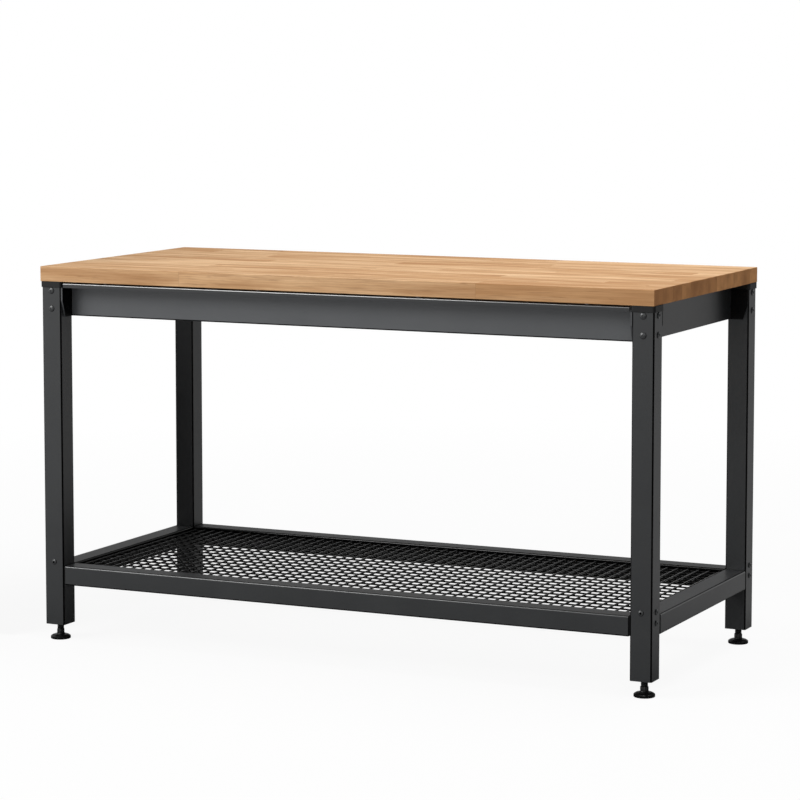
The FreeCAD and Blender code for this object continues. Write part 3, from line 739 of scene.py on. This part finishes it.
def make_wire_welds(material):
    """Small flat beads where the two layers of wires cross: one bead copied to every crossing."""
    low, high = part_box("shelf_mesh")
    level = (low[Z] + high[Z]) / 2
    across = int((high[X] - low[X] - WIRE) // CROSS_PITCH)
    deep = int((high[Y] - low[Y] - WIRE) // LONG_PITCH)
    xs = (np.arange(across + 1) - across / 2) * CROSS_PITCH
    ys = (np.arange(deep + 1) - deep / 2) * LONG_PITCH
    turn = np.arange(WELD_SIDES) * 2 * math.pi / WELD_SIDES
    radius = WELD_RADIUS * np.array(WELD_SPREAD)[:, None]
    height = WELD_HEIGHT * np.array(WELD_RISE)[:, None]
    bead = np.stack([radius * np.cos(turn), radius * np.sin(turn),
                     np.repeat(height, WELD_SIDES, 1)], -1).reshape(-1, 3)
    spots = np.stack(np.meshgrid(xs, ys, [level], indexing="ij"), -1).reshape(-1, 3)
    points = (spots[:, None, :] + bead[None, :, :]).reshape(-1, 3)
    first = np.arange(len(spots))[:, None, None] * len(bead)
    faces = (first + grid_faces(len(WELD_RISE), WELD_SIDES)[None]).reshape(-1, 4)
    piece = mesh_object("wire_welds", points, faces, material)
    smooth(piece, WELD_SHARP)
    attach(piece, "frame")


# Finishes

fine = make_finish_group()
finishes = {
    "butcher_block": make_butcher_block(),
    "powder_coat": coated("powder_coat", fine, *FRAME_COAT),
    "leg_coat": make_leg_coat(fine),
    "rail_coat": make_rail_coat(fine),
    "apron_coat": make_apron_coat(fine),
    "end_apron_coat": coated("end_apron_coat", fine, *END_APRON_COAT,
                             Specular_IOR_Level=END_APRON_SPECULAR),
    "apron_face_bolts": make_bolt_coat(fine, "apron_face_bolts", Y, False),
    "shelf_face_bolts": make_bolt_coat(fine, "shelf_face_bolts", Y, True),
    "end_bolts": make_bolt_coat(fine, "end_bolts", X, False),
    "plate_coat": coated("plate_coat", fine, *PLATE_COAT, Specular_IOR_Level=PLATE_SPECULAR),
    "face_plate_coat": make_face_plate_coat(fine),
    "wire_coating": make_wire_coat(fine),
    "cap_plastic": coated("cap_plastic", fine, *CAP_COAT, Specular_IOR_Level=CAP_SPECULAR),
    "black_steel": coated("black_steel", fine, *STEEL_COAT),
    "zinc_steel": coated("zinc_steel", fine, *ZINC_COAT, Metallic=1.0),
    "cast_block": coated("cast_block", fine, *CAST_COAT, Metallic=1.0),
    "pad_plastic": coated("pad_plastic", fine, *PAD_COAT, Specular_IOR_Level=PAD_SPECULAR)}

# Nodes whose finish differs a little from the rest of their material, most of them by painted shade
# and light
OWN_FINISH = {"apron_plate_bolts": "plate_coat", "rail_plate_bolts": "plate_coat"}
for corner in CORNERS:
    OWN_FINISH["leg_" + corner] = "leg_coat"
for side in ("front", "rear"):
    OWN_FINISH["apron_" + side] = "apron_coat"
    OWN_FINISH["apron_plates_" + side] = "face_plate_coat"
for side in ("left", "right"):
    OWN_FINISH["apron_" + side] = "end_apron_coat"
for side in ("front", "rear", "left", "right"):
    OWN_FINISH["rail_" + side] = "rail_coat"
for level in ("apron", "shelf"):
    OWN_FINISH[level + "_bolts_faces"] = level + "_face_bolts"
    OWN_FINISH[level + "_bolts_ends"] = "end_bolts"
for subpart in frame["record"]["subparts"]:
    node = frame["nodes"][subpart["node"]]
    node.data.materials.clear()
    node.data.materials.append(finishes[OWN_FINISH.get(subpart["node"], subpart["material_slot"])])

for corner in CORNERS:
    make_stud(corner, finishes["black_steel"])
make_wire_welds(finishes["wire_coating"])


# Studio

def ray_kinds(tree):
    """Two masks: rays that show the backdrop itself, and rays mirrored by the object."""
    path = add(tree, "LightPath").outputs
    shown = calc(tree, "MAXIMUM", path["Is Camera Ray"], path["Is Transmission Ray"])
    return shown, path["Is Glossy Ray"]


def toward_light(tree, axes):
    """How far a place or direction lies towards the lit side: its dot product with that way."""
    return calc(tree, "MULTIPLY_ADD", axes[X], LIT_SIDE[X],
                calc(tree, "MULTIPLY", axes[Y], LIT_SIDE[Y]))


def empty_material(name):
    """Material without nodes, and its tree."""
    material = bpy.data.materials.new(name)
    material.use_nodes = True
    material.node_tree.nodes.clear()
    return material, material.node_tree


def mix_shaders(tree, factor, first, second):
    """Mixes two shaders."""
    return add(tree, "MixShader", {0: factor, 1: first, 2: second}).outputs[0]


def make_floor():
    """White sweep.

    Where it is shown it is its own white, with a share of shaded white near the bench that keeps
    the shadow and fades with distance. Mirrored rays meet painted light and shade: a painted shadow
    under and near the bench, brighter far off and to the left. From below it is clear, so that the
    underside of the bench can be seen.
    """
    material, tree = empty_material("studio_floor")
    axes = place_axes(tree)
    away = length_of(tree, axes[X], axes[Y])
    lit = toward_light(tree, axes)
    shown, mirrored = ray_kinds(tree)

    white = add(tree, "Emission", {"Color": (1, 1, 1, 1), "Strength": 1.0}).outputs[0]
    matt = add(tree, "BsdfDiffuse", {"Color": (*[SHADE_WHITE] * 3, 1)}).outputs[0]
    sweep = mix_shaders(tree, remap(tree, away, *SHADE_FADES, FLOOR_SHADE, 0.0), white, matt)

    # painted light and shade on the mirrored floor: a shadow near and under the bench, lighter to
    # the left
    front = remap(tree, away, *GLOW_REACH, MIRROR_NEAR * MIRROR_LIT, MIRROR_LIT)
    front = calc(tree, "MULTIPLY", front, remap(tree, axes[X], *GLOW_LEFT))
    front = calc(tree, "MULTIPLY", front, remap(tree, axes[X], *GLOW_RIGHT))
    glow = blend(tree, fade(tree, lit, *GLOW_BEHIND), front, MIRROR_BEHIND)
    past_x = calc(tree, "SUBTRACT", calc(tree, "ABSOLUTE", axes[X]), cad_high[X])
    past_y = calc(tree, "SUBTRACT", calc(tree, "ABSOLUTE", axes[Y]), cad_high[Y])
    under = remap(tree, calc(tree, "MAXIMUM", past_x, past_y), *GLOW_UNDER)
    glow = calc(tree, "MULTIPLY", glow, under)
    mirror = add(tree, "Emission", {"Color": (1, 1, 1, 1), "Strength": glow}).outputs[0]
    bounce = add(tree, "BsdfDiffuse", {"Color": (*[FLOOR_BOUNCE] * 3, 1)}).outputs[0]

    surface = mix_shaders(tree, mirrored, bounce, mirror)
    surface = mix_shaders(tree, shown, surface, sweep)
    below = add(tree, "NewGeometry").outputs["Backfacing"]
    clear = add(tree, "BsdfTransparent").outputs[0]
    surface = mix_shaders(tree, below, surface, clear)
    put(tree, add(tree, "OutputMaterial").inputs[0], surface)

    ends = ((-1, -1), (1, -1), (1, 1), (-1, 1))
    points = np.array([[x * FLOOR_SIZE, y * FLOOR_SIZE, FLOOR_LEVEL] for x, y in ends])
    floor = mesh_object("studio_floor", points, np.array([[0, 1, 2, 3]]), material)


def make_card():
    """Black card left of the bench that keeps front light off the rear left leg.

    It is clear to rays that show the backdrop, so only light and mirrored rays meet it.
    """
    material, tree = empty_material("studio_card")
    shown = ray_kinds(tree)[0]
    clear = add(tree, "BsdfTransparent").outputs[0]
    black = add(tree, "BsdfDiffuse", {"Color": (0, 0, 0, 1)}).outputs[0]
    put(tree, add(tree, "OutputMaterial").inputs[0], mix_shaders(tree, shown, black, clear))
    points = np.array([[CARD_LEFT, CARD_DEPTH, 0.0], [CARD_RIGHT, CARD_DEPTH, 0.0],
                       [CARD_RIGHT, CARD_DEPTH, CARD_HEIGHT], [CARD_LEFT, CARD_DEPTH, CARD_HEIGHT]])
    mesh_object("studio_card", points, np.array([[0, 1, 2, 3]]), material)


def make_world():
    """White where it is shown; its light comes mostly from the lit side, little from the right."""
    world = bpy.data.worlds.new("studio")
    scene.world = world
    world.use_nodes = True
    tree = world.node_tree
    background = tree.nodes["Background"]
    background.inputs["Color"].default_value = (1, 1, 1, 1)
    axes = add(tree, "SeparateXYZ", {0: add(tree, "TexCoord").outputs["Generated"]}).outputs
    level = remap(tree, toward_light(tree, axes), *WORLD_ACROSS, MIRROR_DIM, MIRROR_LIT)
    level = calc(tree, "MULTIPLY", level, remap(tree, axes[X], *WORLD_RIGHT))
    back = calc(tree, "MULTIPLY", ramp(tree, axes[Y], *WORLD_BACK),
                ramp(tree, axes[Z], *WORLD_HIGH))
    level = calc(tree, "MULTIPLY", level, calc(tree, "SUBTRACT", 1.0, back))
    shown, mirrored = ray_kinds(tree)
    around = blend(tree, mirrored, calc(tree, "MULTIPLY", level, SOFT_LIGHT), level)
    put(tree, background.inputs["Strength"], blend(tree, shown, around, 1.0))


def make_lamp(name, place, target, width, height, power):
    """Soft rectangular lamp at place, facing target."""
    data = bpy.data.lights.new(name, "AREA")
    data.shape = "RECTANGLE"
    data.size, data.size_y, data.energy = width, height, power
    lamp = bpy.data.objects.new(name, data)
    scene.collection.objects.link(lamp)
    way = np.array(target) - np.array(place)
    way = way / np.linalg.norm(way)
    lamp.location = place
    lamp.rotation_euler = (math.acos(-way[Z]), 0, math.atan2(way[X], -way[Y]) + math.pi)


make_floor()
make_card()
make_world()
make_lamp("key", **KEY_LAMP)
make_lamp("overhead", **OVERHEAD_LAMP)

camera = bpy.data.objects.new("camera", bpy.data.cameras.new("camera"))
scene.collection.objects.link(camera)
scene.camera = camera
camera.data.sensor_width = SENSOR_WIDTH
camera.data.lens = LENS
camera.data.shift_y = SHIFT
camera.location = CAMERA_PLACE
camera.rotation_euler = (math.radians(90 - CAMERA_PITCH), 0, math.radians(CAMERA_TURN))
camera.data.clip_end = CLIP_END

scene.view_settings.view_transform = "Standard"
